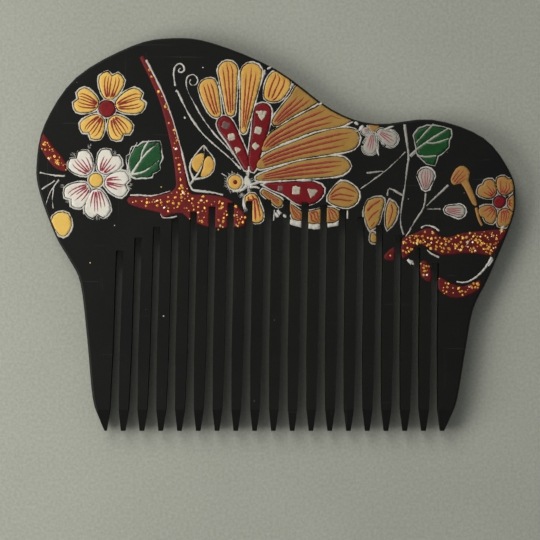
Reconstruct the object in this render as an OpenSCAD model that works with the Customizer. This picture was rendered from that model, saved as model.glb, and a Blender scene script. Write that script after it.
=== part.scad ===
// Flat ornamental hair comb: one sawn board with shallow colour-filled cells in its face.
// The back lies on z = 0 and the decorated face looks up. The teeth point along -Y, and the origin is in the
// middle of the back.

/* [Board] */
// Width over the two shoulders
comb_w = 100; // [80:1:130]
// Height from the tooth tips to the crown
comb_h = 82; // [66:1:108]
// Thickness of the board
board_t = 5; // [4:0.1:7]
// How far the rounded rim reaches in over the face
rim_in = 0.5; // [0.2:0.1:1]
// How far the rounded rim reaches down the edge
rim_drop = 1.2; // [0.4:0.1:1.8]

/* [Teeth] */
// Teeth, the two outer guards included
tooth_count = 19; // [15:1:23]
// Width of a saw cut at its root
kerf_root = 1.5; // [1:0.1:1.9]
// Length over which a tooth narrows towards its tip
taper_len = 16; // [10:1:24]
// Width of a tooth where its point begins
tooth_low_w = 2; // [1.4:0.05:2.1]
// Width of a tooth at its blunt tip
tooth_tip_w = 0.95; // [0.6:0.05:1.05]
// Length of the pointed end of a tooth
point_len = 4.5; // [3:0.5:8]
// Thickness left at the tips
tip_t = 2.2; // [1.4:0.1:3]
// Radius of the arc the saw cuts end on
root_r = 51.5; // [45:0.5:70]

/* [Decoration] */
// Depth of the cells cut into the face
cell_depth = 0.25; // [0.2:0.01:0.5]
// How far a colour fill stays below the face
fill_drop = 0.08; // [0.04:0.01:0.12]
// Clearance between a fill and the wall of its cell
seat_gap = 0.03; // [0.02:0.01:0.05]
// Bare lacquer left between a fill and its white line
line_gap = 0.22; // [0.15:0.01:0.35]
// Width of a white line
line_w = 0.3; // [0.25:0.01:0.45]
// Height of a white line above the face
line_h = 0.06; // [0.04:0.01:0.12]
// Thickness of a gold flake
flake_t = 0.04; // [0.02:0.01:0.06]
// Distance the gold flakes are scattered at
flake_pitch = 1.05; // [0.85:0.05:1.6]

// Least distance of a gold flake from an edge
flake_clear = 0.2; // [0.1:0.05:0.4]

/* [Hidden] */
// Width and height of the drawing that the motifs are laid out in
draw_w = 100;
draw_h = 82;
// Where the first and the last saw cut lie at the tips and at the roots, and the apex of the root arc
cut_tips_x = [-33.9, 32.8];
cut_roots_x = [-32.6, 33.2];
root_apex = [-1.25, 7.3];
cut_last = tooth_count - 2;
tooth_pitch = (cut_tips_x[1] - cut_tips_x[0]) / cut_last * comb_w / draw_w;
base_y = -comb_h / 2;
// Clear space a motif keeps from one that lies over it
clear_over = 2 * line_gap + line_w;
fill_z = board_t - cell_depth;
fill_t = cell_depth - fill_drop;
over = 1;

// One of the names above, or "all"

// ---------------------------------------------------------------- curves

// A drawing point brought to the comb's own size
function at(p) = [p.x * comb_w / draw_w, p.y * comb_h / draw_h];

function all_at(pts) = [for (p = pts) at(p)];

function unit(v) = v / norm(v);

function left_of(v) = [-v.y, v.x];

// Smooth curve from q to r, led in by p and out by s
function blend(p, q, r, s, t) =
    q + 0.5 * t * (r - p + t * (2 * p - 5 * q + 4 * r - s + t * (3 * (q - r) + s - p)));

function smooth_path(pts, steps) = let (last = len(pts) - 1) concat(
    [for (i = [0 : last - 1], k = [0 : steps - 1])
        blend(pts[max(i - 1, 0)], pts[i], pts[i + 1], pts[min(i + 2, last)], k / steps)],
    [pts[last]]);

function smooth_loop(pts, steps) = let (n = len(pts))
    [for (i = [0 : n - 1], k = [0 : steps - 1])
        blend(pts[(i + n - 1) % n], pts[i], pts[(i + 1) % n], pts[(i + 2) % n], k / steps)];

// Twice the signed area a loop encloses, positive when it runs anticlockwise
function swept(pts, i = 0) = i == len(pts) ? 0 :
    cross(pts[i], pts[(i + 1) % len(pts)]) + swept(pts, i + 1);

// The loop moved outwards by d all round, or inwards when d is negative
function grown(pts, d) = let (n = len(pts), way = sign(swept(pts)))
    [for (i = [0 : n - 1])
        let (a = unit(pts[i] - pts[(i + n - 1) % n]), b = unit(pts[(i + 1) % n] - pts[i]),
             out = -way * left_of(unit(a + b)))
        pts[i] + out * d / max(abs(cross(unit(a + b), left_of(b))), 0.6)];

// A loop round a path, w0 wide at its start and w1 at its end
function ribbon(path, w0, w1) = let (last = len(path) - 1,
    side = [for (i = [0 : last])
        left_of(unit(path[min(i + 1, last)] - path[max(i - 1, 0)])) * (w0 + (w1 - w0) * i / last) / 2])
    concat([for (i = [0 : last]) path[i] + side[i]], [for (i = [last : -1 : 0]) path[i] - side[i]]);

function stem(pts, w0, w1) = ribbon(smooth_path(all_at(pts), 3), w0, w1);

// Points that keep their size and their place beside a motif whose middle is c
function beside(c, pts) = [for (p = pts) at(c) + p - c];

function blob(pts, steps = 2) = smooth_loop(all_at(pts), steps);

// A rounded lobe from root to tip
function lobe(root, tip, w0, w1) = let (a = at(root), b = at(tip), u = unit(b - a), v = left_of(u))
    concat(
        [for (t = [-90 : 30 : 90]) b + u * (cos(t) - 1) * w1 / 2 + v * sin(t) * w1 / 2],
        [for (t = [90 : 45 : 270]) a + u * (cos(t) + 1) * w0 / 2 + v * sin(t) * w0 / 2]);

// A petal between r0 and r1 from the centre, w wide, with a notched end
function petal(centre, turn, r0, r1, w, notch) = let (c = at(centre), u = [cos(turn), sin(turn)],
    v = left_of(u), len = r1 - r0,
    half = [[r0, 0.17], [r0 + 0.38 * len, 0.43], [r0 + 0.78 * len, 0.5], [r1, 0.22]],
    loop = concat([for (q = half) c + u * q.x - v * q.y * w], [c + u * (r1 - notch)],
                  [for (i = [3 : -1 : 0]) c + u * half[i].x + v * half[i].y * w]))
    smooth_loop(loop, 2);

// A leaf with scalloped edges, from its root to its tip
function leaf(ends, w, scallops) = let (a = ends[0], b = ends[1], v = left_of(unit(b - a)) * w / 2,
    edge = [for (t = [0.04 : 0.08 : 0.96])
        [t, pow(sin(180 * pow(t, 0.85)), 0.8) * (1 + 0.1 * cos(360 * scallops * t))]])
    concat([a], [for (e = edge) a + (b - a) * e.x - v * e.y], [b],
           [for (i = [len(edge) - 1 : -1 : 0]) a + (b - a) * edge[i].x + v * edge[i].y]);

function disc(centre, r, sides = 20) = let (c = at(centre))
    [for (i = [0 : sides - 1]) c + r * [cos(360 * i / sides), sin(360 * i / sides)]];

function inside(p, loop) = len([for (i = [0 : len(loop) - 1])
    let (a = loop[i], b = loop[(i + 1) % len(loop)])
    if ((a.y > p.y) != (b.y > p.y) && p.x < a.x + (b.x - a.x) * (p.y - a.y) / (b.y - a.y)) 1]) % 2 == 1;

// ---------------------------------------------------------------- the board and its saw cuts

outline = smooth_path(all_at([
    [-35.8, -41], [-36.8, -38.6], [-38.3, -34], [-39.4, -22], [-40.8, -10.3], [-43.1, -5.3], [-46, -0.3],
    [-49.3, 8.6], [-50, 14.5], [-48.3, 23], [-41.7, 32.8], [-30, 39.4], [-21.7, 41], [-13.3, 40],
    [0, 34.5], [11.7, 26.1], [20.8, 23.1], [32.5, 24], [43.3, 20.2], [49, 12.8], [50, 7.6], [49.2, 2.6],
    [44.4, -8.9], [41.2, -15.5], [39.5, -24.5], [37.8, -34.5], [36.2, -38.6], [35.1, -41]]), 4);

function root_y(x) = let (apex = at(root_apex)) apex.y - root_r + sqrt(root_r * root_r - pow(x - apex.x, 2));

// Middle of a saw cut at its root, and at the height y
function cut_root(i) = let (
    x = (cut_roots_x[0] + (cut_roots_x[1] - cut_roots_x[0]) * i / cut_last) * comb_w / draw_w)
    [x, root_y(x)];

function cut_x(i, y) = let (root = cut_root(i), tip = cut_tips_x[0] * comb_w / draw_w + tooth_pitch * i)
    tip + (root.x - tip) * (y - base_y) / (root.y - base_y);

function cut(i) = let (
    top = cut_root(i).y, low_kerf = tooth_pitch - tooth_low_w, tip_kerf = tooth_pitch - tooth_tip_w,
    half = [[top, 0.4 * kerf_root], [top - 0.1 * kerf_root, 0.5 * kerf_root],
            [base_y + taper_len, 0.5 * kerf_root], [base_y + point_len, low_kerf / 2],
            [base_y, tip_kerf / 2], [base_y - over, tip_kerf / 2]])
    concat([for (q = half) [cut_x(i, q.x) + q.y, q.x]],
           [for (k = [len(half) - 1 : -1 : 0]) [cut_x(i, half[k].x) - half[k].y, half[k].x]]);

module cuts() {
    for (i = [0 : cut_last]) polygon(cut(i));
}

// Ring that leaves the rounded rim behind, on the face
module rim_cutter() {
    profile = concat([[-over, board_t + over], [-over, board_t - rim_drop]],
        [for (a = [0 : 30 : 90]) [rim_in * (1 - cos(a)), board_t - rim_drop * (1 - sin(a))]],
        [[rim_in, board_t + over]]);
    rings = [for (q = profile) grown(outline, -q.x)];
    n = len(outline);
    m = len(profile);
    polyhedron(
        [for (j = [0 : m - 1], p = rings[j]) [p.x, p.y, profile[j][1]]],
        [for (j = [0 : m - 1], i = [0 : n - 1])
            let (k = (j + 1) % m, l = (i + 1) % n) [j * n + i, k * n + i, k * n + l, j * n + l]]);
}

// Wedge that thins the tooth ends on the face
module point_cutter() {
    translate([-comb_w / 2, 0, 0]) rotate([90, 0, 90]) linear_extrude(comb_w)
        polygon([[base_y + point_len, board_t], [base_y, (board_t + tip_t) / 2],
                 [base_y - over, (board_t + tip_t) / 2], [base_y - over, board_t + over],
                 [base_y + point_len, board_t + over]]);
}

// ---------------------------------------------------------------- motifs: lists of the loops of their fills

branch_left_end_fills = [blob([
    [-48.6, 21.1], [-46.4, 18.1], [-44.5, 15.9], [-43.3, 13.4], [-45.4, 13.6], [-47.2, 15.3],
    [-48.7, 17.6], [-49.3, 19.8]])];

branch_main_fills = [
    stem([[-28, 37], [-25.3, 31.8], [-23.2, 27], [-21, 18.9], [-19.9, 12.9], [-19.4, 6.5]], 0.7, 2.3),
    blob([[-30.6, 7.7], [-27.9, 7.7], [-25.5, 7.8], [-22.5, 8.5], [-21, 9.5], [-20.3, 10.9],
         [-18.7, 10.9], [-18.4, 9.6], [-17.5, 8.3], [-14.8, 8.2], [-11.8, 7.9], [-9.3, 6.9], [-7.6, 5.3],
         [-6.4, 3.8], [-6.5, 2.4], [-7.6, 1.7], [-12.4, 1.5], [-14.8, 1.9], [-16.6, 2.6], [-17.9, 3.1],
         [-19.4, 4.5], [-21.6, 4.4], [-23.7, 3.5], [-24.1, 4.6], [-27.9, 5.5], [-30.6, 6.5]])];

branch_right_fills = [
    blob([[26.4, -1], [28.6, 0], [31.4, 1.2], [33.1, 0.8], [34.8, -0.9], [38.9, 0.2], [42.6, 0.6],
          [48, 0.9], [46.5, -1.6], [45.1, -4.2], [42.8, -4], [38.9, -3.8], [34.6, -4.2], [31.6, -2.6],
          [29.4, -1.9], [28.4, -3.4], [26.4, -4.9]]),
    blob([[22.7, -4.3], [24.6, -2.7], [24.7, -5.2], [22.9, -5.2]]),
    blob([[30.2, -5.8], [31.4, -5.8], [32.2, -7.6], [32.3, -9.8], [30.4, -8.8]])];

branch_right_lower_fills = [blob([
    [34, -8.9], [36.2, -10.2], [39.2, -10.9], [42.4, -9.6], [42.2, -11.4], [39.2, -12.9], [36.4, -13],
    [34, -11.4]])];

gold_eye = [-35.2, 26.2];
white_eye = [-37.5, 11.3];
edge_eye = [46.6, 6.8];

gold_petals = [for (q = [[80.8, 7.5], [15.7, 7.8], [-57, 6.8], [-127, 6.8], [161, 6.8]])
    petal(gold_eye, q.x, 2.3, q.y, 4.9, 0.8)];
gold_centre = [disc(gold_eye, 1.6)];

white_petals = [for (q = [[131, 6.7], [55.5, 6.7], [-8.5, 6.7], [217.6, 7.1], [-87, 7.7]])
    petal(white_eye, q.x, 2.2, q.y, 5, 0.8)];
white_centre = [disc(white_eye, 1.3)];

edge_petals = [for (q = [[134, 5.1], [70, 5.2], [355, 4.6], [292, 5.2], [226, 4.8]])
    petal(edge_eye, q.x, 1.9, q.y, 3.9, 0.3)];
edge_centre = [disc(edge_eye, 1.1, 16)];

half_petals = [
    lobe([20.1, 20.9], [19.4, 17], 1.2, 2.4), lobe([21.5, 21.3], [24.9, 19.2], 1.2, 2.6),
    lobe([19.3, 22], [18.3, 21.4], 0.6, 1)];
half_centre = [disc([20.4, 22.6], 1, 16)];

leaf_left_fills = [leaf(beside(white_eye, [[-30, 12.3], [-24.4, 19.1]]), 6.4, 4)];
leaf_right_fills = [blob([[29, 20.6], [29.9, 21.8], [31.5, 22.4], [33.1, 22.4], [34.8, 22.1],
    [36.2, 21.6], [36.3, 20.6], [35.8, 19.8], [35.7, 18.3], [34.5, 17.1], [33.5, 16.5], [33.3, 15.7],
    [32.9, 14.7], [31.5, 15], [30.4, 16.1], [29.7, 17], [29.5, 18.3]], 1)];

bud_edge_fills = [blob([[-46.7, 2.8], [-45.4, 4.4], [-43.4, 4.2], [-42.7, 2], [-43.6, 0.1], [-45, 0]])];
bud_pair_fills = [
    blob([[-17.5, 14.7], [-17.1, 15.9], [-16.2, 16.6], [-15.2, 16.8], [-15.1, 15.8], [-15.6, 14.5],
         [-16.2, 13.1], [-17, 13.5]]),
    blob([[-15.1, 13.8], [-14.9, 15.2], [-14.2, 16.2], [-13.5, 15.9], [-12.9, 14.6], [-13.4, 13.1],
         [-14.6, 12.2], [-15.6, 12.2]])];
bud_pink_upper_fills = [lobe([31.2, 9.4], [31.3, 13.7], 1.5, 3.2)];
bud_pink_lower_fills = [lobe([35.3, 5.2], [39.3, 4.7], 1.4, 2.4)];
trumpet_fills = [blob([
    [36.5, 11.5], [37.6, 13.7], [39.1, 14.2], [40.3, 12.9], [40, 11.2], [41, 8.8], [41.8, 6.2], [41, 6.4],
    [39.8, 8.8], [38.6, 10.7], [37.1, 10.4]]),
    stem([[41.7, 5.5], [42, 4.2], [42.4, 2.9], [42.9, 1.9]], 0.4, 0.3)];
lobed_leaf_fills = [
    blob([[19.3, 7], [21.9, 7.6], [22.4, 6.6], [21.7, 4.2], [21.2, 2.4], [19.7, 1.1], [18.9, 3],
          [18.5, 4.6]]),
    blob([[23.8, 6.9], [25.2, 5.5], [24.7, 3], [23.3, 1.3], [23, 2.9], [23.1, 4.8]]),
    lobe([20.2, 0.3], [20.5, -1.6], 0.7, 1.3)];

wing_upper_fills = [
    blob([[-15.9, 30.6], [-15.4, 31.7], [-14.3, 32.3], [-13, 32.2], [-12.3, 30.8], [-12, 29.1],
         [-11.8, 27], [-11.6, 25.2], [-12.1, 24.6], [-13, 24.7], [-13.9, 25.6], [-14.9, 27.4],
         [-15.6, 29.2]]),
    lobe([-9.4, 24.8], [-10.1, 36], 1.6, 3.8), lobe([-6.8, 21.2], [-4.8, 35.6], 0.9, 4.2),
    blob([[-2.3, 28.9], [-2.2, 30.7], [-1.7, 32.2], [-0.7, 33.6], [0.6, 33.7], [2.6, 32.3], [2.9, 31],
         [2.2, 29.6], [1, 28.2], [-0.4, 27.8], [-1.8, 28.1]])];
wing_side_fills = [
    blob([[-0.7, 23.4], [0.5, 22.9], [3.2, 24.6], [8.2, 27.4], [9.6, 29], [5.3, 31.6], [3.1, 28.8],
          [0.6, 25.7]]),
    blob([[-2.9, 18], [-2.2, 17.4], [0.8, 18.9], [4.4, 20.3], [8, 21.7], [12.7, 22.5], [15, 23.4], [16, 24.8],
          [10.5, 29], [9.3, 26.9], [6.8, 25.6], [3.2, 23.7], [0.4, 22], [-1.7, 20.4]]),
    blob([[-3.9, 14.6], [-3.2, 13.8], [0.8, 14.8], [5.6, 16], [12.7, 17.1], [16.2, 18], [17.3, 20],
          [16.2, 21.8], [13.2, 22], [9.9, 21.3], [6.3, 20.1], [2.7, 18.7], [-0.4, 17.5], [-2.8, 16.1]]),
    blob([[-4, 11.9], [-3.2, 11.3], [0.8, 11.5], [5.6, 11.8], [10.4, 12.1], [13.8, 12.6], [15.4, 14.2],
          [14.2, 15.8], [11.5, 16.1], [8, 15.6], [4.4, 15], [0.8, 13.8], [-2.2, 12.8]])];
wing_hind_fills = [
    blob([[13.6, 10.9], [15.8, 10.2], [17.1, 8.7], [16.8, 6.9], [15.1, 5.8], [12.9, 6.1], [11, 7.1],
          [11.5, 8.8]]),
    lobe([-2.9, 9], [1.2, 6.2], 0.8, 1.6),
    blob([[3, 6.3], [5.4, 4.6], [8.3, 5], [10.8, 5.5], [12.9, 4.9], [12.9, 3.1], [11.2, 2.6], [7.6, 2.4],
          [5.6, 3], [3.6, 3.4]])];

wing_panel_left_fills = [blob([[-12.1, 23.2], [-11.5, 24.2], [-10.6, 24.5], [-9.5, 23.9], [-8.6, 22.4],
    [-7.6, 20.1], [-6.5, 17.6], [-5.8, 15.2], [-5.9, 13.8], [-6.4, 13.6], [-7.2, 14.9], [-8.8, 17.6],
    [-10.5, 20.1], [-11.7, 21.8]])];
wing_panel_middle_fills = [blob([[-4.3, 26.1], [-3.7, 26.9], [-2.6, 27.2], [-1.6, 26.8], [-1.1, 25.7],
    [-1.3, 23.8], [-1.9, 21.3], [-2.8, 18.4], [-3.6, 15.6], [-4.4, 13.6], [-5, 13.3], [-5.6, 15],
    [-5.4, 17.6], [-5, 20.4], [-4.7, 23.2]])];
wing_panel_lower_fills = [blob([
    [-2.4, 10.3], [0.9, 10.7], [7.8, 10.8], [9.9, 9.5], [9.3, 7.8], [7.8, 6.7], [5.5, 6.3], [3.5, 7.2],
    [1.6, 8.6]])];

wing_fills = concat(wing_upper_fills, wing_side_fills, wing_hind_fills,
    wing_panel_left_fills, wing_panel_middle_fills, wing_panel_lower_fills);

head_fills = [disc([-8.5, 10.9], 1.3)];
pupil_fills = [disc([-8.5, 10.9], 0.4, 12)];
abdomen_fills = [lobe([-5.5, 8.4], [-3.6, 2.6], 2.5, 2.7)];
thorax_fills = [blob([[-6.2, 12.2], [-5.3, 11], [-5.7, 9.5], [-6.6, 10.8]])];

// Shell chips: middle, size, turn, corners
chips = [
    [[-10.5, 22.8], 1.7, 20, 4], [[-9.3, 20.3], 1.6, 60, 4], [[-8, 17.6], 1.3, 10, 3],
    [[-3, 25], 2.3, 30, 3], [[-3.7, 21.7], 1.6, 30, 4], [[-4.3, 18.4], 1.3, 0, 4],
    [[0.9, 9.6], 1.1, 45, 4], [[4.2, 9.2], 1.9, 40, 4], [[7.5, 8.7], 2.2, 20, 3]];

function chip(i) = let (q = chips[i])
    [for (k = [0 : q[3] - 1]) at(q[0]) + q[1] / 2 * [cos(q[2] + 360 * k / q[3]), sin(q[2] + 360 * k / q[3])]];

chip_fills = [for (i = [0 : len(chips) - 1]) chip(i)];

// White brush lines that follow a path of their own
antennae = [
    stem([[-19.8, 34.6], [-20.2, 34.4], [-20.2, 33.9], [-19.6, 33.8], [-19.1, 34.3], [-19.3, 35.1],
          [-20, 35.6], [-20.9, 35.1], [-21.3, 33.8], [-21.2, 32.3], [-21, 31]], 0.26, 0.3),
    stem([[-20.5, 29.8], [-19.8, 28.3], [-17.9, 24.6], [-15.6, 21.4], [-13.2, 19], [-9.8, 16.1],
          [-7.3, 13.6]], 0.34, 0.34),
    stem([[-17.7, 32.3], [-18, 31.7], [-17.5, 31.1], [-16.6, 31.3], [-16.3, 32.2], [-16.8, 33.1],
          [-17.6, 33.3], [-18.4, 32.8], [-18.7, 31.7], [-18.4, 30], [-17.2, 27.6], [-15.5, 24.6],
          [-13.6, 21.9], [-11.2, 19.2], [-8.8, 16.6], [-6.6, 13.3]], 0.26, 0.32),
    stem([[-11.4, 12.8], [-10.4, 12.1]], 0.34, 0.34)];

// White lines along one side of a branch
branch_lines = [
    stem([[-27, 36.3], [-24, 30.4], [-21.9, 25.1], [-19.7, 17.6], [-18.5, 12.4], [-17.6, 9.6], [-16.4, 9.1],
          [-13.5, 8.8], [-11, 8.2]], 0.3, 0.4),
    stem([[-30.4, 8.2], [-28.4, 8.2], [-25.6, 8.1], [-22, 9.1]], 0.3, 0.34),
    stem([[-24, 4.3], [-23.6, 3.5], [-22, 3.5], [-20.6, 3.8]], 0.3, 0.34),
    stem([[30.2, 1.4], [31.4, 1.9], [33, 1.5], [34, 0.7]], 0.34, 0.34),
    stem([[31.4, -3.2], [32.4, -4], [34, -4.8]], 0.34, 0.34),
    stem([[27.4, -5.2], [28.3, -6.1]], 0.6, 0.8),
    stem([[37.6, -9.8], [39.4, -10], [41.2, -9.2], [42.9, -7.8], [44, -6.4], [45, -4.8]], 0.34, 0.6)];

stems_left = [
    stem([[-49.2, 12.9], [-46.1, 12.3], [-43.9, 12.2]], 0.34, 0.5),
    stem([[-48.8, 9.4], [-46, 11.2]], 0.3, 0.4),
    stem([[-48, 6.1], [-46.9, 9.1], [-45.2, 11.4]], 0.3, 0.4),
    stem([[-46.2, 10], [-46.6, 7.4], [-46.4, 5.4]], 0.34, 0.3)];

stems_right = [
    stem([[26.8, 22.9], [27.4, 18.2], [27.6, 16], [27.3, 13.6], [26.7, 8.9], [26.1, 5.2], [26, 2.1],
          [26.6, 0]], 0.5, 0.34),
    stem([[27, 17.2], [23.1, 13.5], [18.2, 9.9]], 0.34, 0.3),
    stem([[22.4, 13.2], [18.9, 12.8]], 0.34, 0.3),
    stem([[28, 16.2], [29.3, 17.2]], 0.4, 0.34),
    stem([[31.2, 8.6], [30.8, 5.7], [29.2, 3.1], [27.9, 1]], 0.5, 0.34),
    stem([[31.3, 5.3], [34.3, 5.3]], 0.34, 0.4),
    stem([[31.3, 5.9], [35.9, 10.3]], 0.34, 0.4),
    stem([[23.2, 8], [23.7, 9.6], [26.4, 8.1]], 0.34, 0.34)];

bud_pair_lines = [
    stem([[-18, 10.4], [-17.2, 11.5], [-17.9, 13.4], [-17.6, 15.4], [-16.3, 17.2], [-15, 18.6]], 0.4, 0.3),
    stem([[-15, 18.6], [-14.2, 17.5], [-12.9, 15.7], [-12.9, 13.6], [-14.3, 12], [-17.2, 11.5]], 0.3, 0.3),
    stem([[-17.2, 11.5], [-16.3, 12.6], [-15.4, 14.4], [-15, 16.6], [-15, 18.5]], 0.26, 0.2)];

// White patches below the hind wing and the strokes that join the wings to the body
wing_strokes = [
    stem([[2.6, 2.7], [5, 2], [8, 1.6], [11, 1.8], [13.4, 2.3]], 1, 0.8),
    stem([[14.9, 5], [14.9, 3.3]], 0.34, 0.3),
    stem([[-0.3, 5.2], [-0.5, 2.9]], 0.34, 0.3),
    stem([[0.2, 5.2], [1, 4.2]], 0.7, 0.9),
    stem([[-6, 10.2], [-7.4, 9.1], [-9, 9]], 0.7, 0.4),
    stem([[-5.8, 12], [-5.6, 14.2]], 0.5, 0.3),
    stem([[-5.4, 10.3], [-3.4, 10.9], [-2.4, 10.8]], 0.5, 0.3),
    stem([[-5.4, 9.9], [-4.2, 9.9], [-3.4, 9.6]], 0.5, 0.3)];

// Veins of bare board left standing between the parts of a leaf
function vein(pts, w0, w1) = ribbon(smooth_path(beside(white_eye, pts), 3), w0, w1);

veins_left = [
    vein([[-30.6, 11.6], [-28.7, 14.7], [-26.9, 17], [-24.6, 19]], 0.45, 0.3),
    vein([[-30.3, 12.3], [-30.7, 15.4], [-28.9, 19.2]], 0.34, 0.3),
    vein([[-28.2, 15.4], [-27.8, 17.4], [-26.4, 19.6]], 0.34, 0.26),
    vein([[-29.9, 12.5], [-27.3, 13.2], [-24.4, 15.4]], 0.34, 0.26)];
veins_right = [
    stem([[27.9, 16.3], [30, 18.3], [33.3, 20.5], [36, 22.2]], 0.45, 0.3),
    stem([[29.2, 19.1], [31.2, 21.3], [32.8, 23]], 0.34, 0.26),
    stem([[31.4, 19.1], [33.4, 19.1], [36, 20]], 0.34, 0.26),
    stem([[29.4, 16.5], [31.2, 16.2], [33.4, 16.4]], 0.34, 0.26)];

// ---------------------------------------------------------------- cells, fills and lines

// The loops as one flat shape, grown by d and kept clear of what lies over them
module shape(fills, fronts, d, clear) {
    difference() {
        for (f = fills) polygon(grown(f, d));
        for (f = fronts) polygon(grown(f, clear));
    }
}

// The flat face inside the rim
module face_zone(margin) {
    polygon(grown(outline, -rim_in - margin));
}

// A fill lying in its cell, cut off by the rim and by the saw cuts, with holes where something passes through
module fill(fills, fronts = [], holes = []) {
    translate([0, 0, fill_z]) linear_extrude(fill_t) difference() {
        intersection() {
            shape(fills, fronts, 0, clear_over);
            face_zone(seat_gap);
        }
        for (h = holes) polygon(grown(h, seat_gap));
        cuts();
    }
}

// The cell a fill lies in, with walls left standing in it
module cell(fills, fronts = [], walls = []) {
    translate([0, 0, fill_z]) linear_extrude(cell_depth + over) difference() {
        intersection() {
            shape(fills, fronts, seat_gap, clear_over - seat_gap);
            face_zone(0);
        }
        for (w = walls) polygon(w);
    }
}

// White line round a set of fills
module line_round(fills, fronts = []) {
    translate([0, 0, board_t]) linear_extrude(line_h) intersection() {
        difference() {
            shape(fills, fronts, line_gap + line_w, line_gap + line_w);
            for (f = fills) polygon(grown(f, line_gap));
            cuts();
        }
        face_zone(0);
    }
}

// White lines along their own paths, kept clear of the fills they meet and ending on the lines they join
module line_along(paths, fronts = [], joined = []) {
    translate([0, 0, board_t]) linear_extrude(line_h) intersection() {
        difference() {
            for (p = paths) polygon(p);
            for (f = fronts) polygon(grown(f, line_gap + line_w));
            for (j = joined) polygon(j);
            cuts();
        }
        face_zone(0);
    }
}

// Gold flakes scattered over a branch fill, clear of its edge, the rim, the saw cuts and what lies over it
function near_cut(p) = p.y < root_y(p.x) + flake_clear && len([for (i = [0 : cut_last])
    if (abs(p.x - cut_x(i, p.y)) < kerf_root / 2 + flake_clear) 1]) > 0;

function free(p, bed, zone, fronts) = inside(p, bed) && inside(p, zone) && !near_cut(p)
    && len([for (f = fronts) if (inside(p, f)) 1]) == 0;

function flake(c, r, k) = [for (t = [0 : 4])
    c + r * (0.75 + 0.4 * abs(sin(97 * k + 61 * t))) * [cos(72 * t + 40 * k), sin(72 * t + 40 * k)]];

function flakes(loop, zone, fronts, seed) = let (
    bed = grown(loop, -0.6 * flake_clear), x0 = min([for (p = loop) p.x]), y0 = min([for (p = loop) p.y]),
    cols = floor((max([for (p = loop) p.x]) - x0) / flake_pitch),
    rows = floor((max([for (p = loop) p.y]) - y0) / flake_pitch),
    shake = rands(-0.35, 0.35, 2 * (cols + 1) * (rows + 1), seed),
    size = rands(0.16, 0.4, (cols + 1) * (rows + 1), seed + 1))
    [for (i = [0 : cols], j = [0 : rows])
        let (k = i * (rows + 1) + j, shift = [shake[2 * k], shake[2 * k + 1]],
             f = flake([x0, y0] + flake_pitch * [i, j] + shift, size[k], k))
        if (len([for (p = f) if (free(p, bed, zone, fronts)) 1]) == 5) f];

module gold_flakes(loops, fronts, seed) {
    zone = grown(outline, -rim_in - flake_clear);
    over_it = [for (f = fronts) grown(f, clear_over + flake_clear)];
    color(foil) for (loop = loops, f = flakes(loop, zone, over_it, seed))
        translate([0, 0, fill_z + fill_t]) linear_extrude(flake_t) polygon(f);
}

black = [0.06, 0.06, 0.06];
gold = [0.87, 0.68, 0.3];
orange = [0.83, 0.52, 0.15];
red = [0.55, 0.06, 0.1];
bark = [0.42, 0.11, 0.11];
green = [0.1, 0.36, 0.17];
white = [0.86, 0.85, 0.82];
pearl = [0.75, 0.78, 0.74];
foil = [0.95, 0.72, 0.25];

// ---------------------------------------------------------------- nodes

module both_faces() {
    children();
    translate([0, 0, board_t]) mirror([0, 0, 1]) children();
}

module comb_body() {
    color(black) difference() {
        linear_extrude(board_t) difference() {
            polygon(outline);
            cuts();
        }
        both_faces() rim_cutter();
        both_faces() point_cutter();
        for (fills = [branch_left_end_fills, branch_main_fills]) cell(fills, white_petals);
        cell(branch_right_fills, edge_petals);
        cell(leaf_left_fills, white_petals, veins_left);
        cell(leaf_right_fills, [], veins_right);
        for (fills = [
            branch_right_lower_fills, gold_petals, gold_centre, white_petals,
            white_centre, edge_petals, edge_centre, half_petals, half_centre, bud_edge_fills,
            bud_pair_fills, bud_pink_upper_fills, bud_pink_lower_fills, trumpet_fills, lobed_leaf_fills,
            wing_fills, head_fills, abdomen_fills, thorax_fills]) cell(fills);
    }
}

module branch_left_end() {
    color(bark) fill(branch_left_end_fills, white_petals);
}

module branch_main() {
    color(bark) fill(branch_main_fills, white_petals);
}

module branch_right() {
    color(bark) fill(branch_right_fills, edge_petals);
}

module branch_right_lower() {
    color(bark) fill(branch_right_lower_fills);
}

module gold_flakes_left_end() {
    gold_flakes(branch_left_end_fills, white_petals, 3);
}

module gold_flakes_main() {
    gold_flakes(branch_main_fills, white_petals, 11);
}

module gold_flakes_right() {
    gold_flakes(branch_right_fills, edge_petals, 23);
}

module gold_flakes_right_lower() {
    gold_flakes(branch_right_lower_fills, [], 37);
}

module blossom_gold_petals() {
    color(gold) fill(gold_petals);
}

module blossom_gold_centre() {
    color(red) fill(gold_centre);
}

module blossom_white_petals() {
    color(white) fill(white_petals);
}

module blossom_white_centre() {
    color(gold) fill(white_centre);
}

module blossom_edge_petals() {
    color(gold) fill(edge_petals);
}

module blossom_edge_centre() {
    color(red) fill(edge_centre);
}

module blossom_half_petals() {
    color(white) fill(half_petals);
}

module blossom_half_centre() {
    color(orange) fill(half_centre);
}

module leaf_left() {
    color(green) fill(leaf_left_fills, white_petals, veins_left);
}

module leaf_right() {
    color(green) fill(leaf_right_fills, [], veins_right);
}

module bud_edge() {
    color(gold) fill(bud_edge_fills);
}

module bud_pair() {
    color(gold) fill(bud_pair_fills);
}

module bud_pink_upper() {
    color(white) fill(bud_pink_upper_fills);
}

module bud_pink_lower() {
    color(white) fill(bud_pink_lower_fills);
}

module trumpet_flower() {
    color(orange) fill(trumpet_fills);
}

module lobed_leaf() {
    color(orange) fill(lobed_leaf_fills);
}

module wing_cells_upper() {
    color(gold) fill(wing_upper_fills);
}

module wing_cells_side() {
    color(gold) fill(wing_side_fills);
}

module wing_cells_hind() {
    color(gold) fill(wing_hind_fills);
}

module wing_panel_left() {
    color(red) fill(wing_panel_left_fills, [], chip_fills);
}

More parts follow.
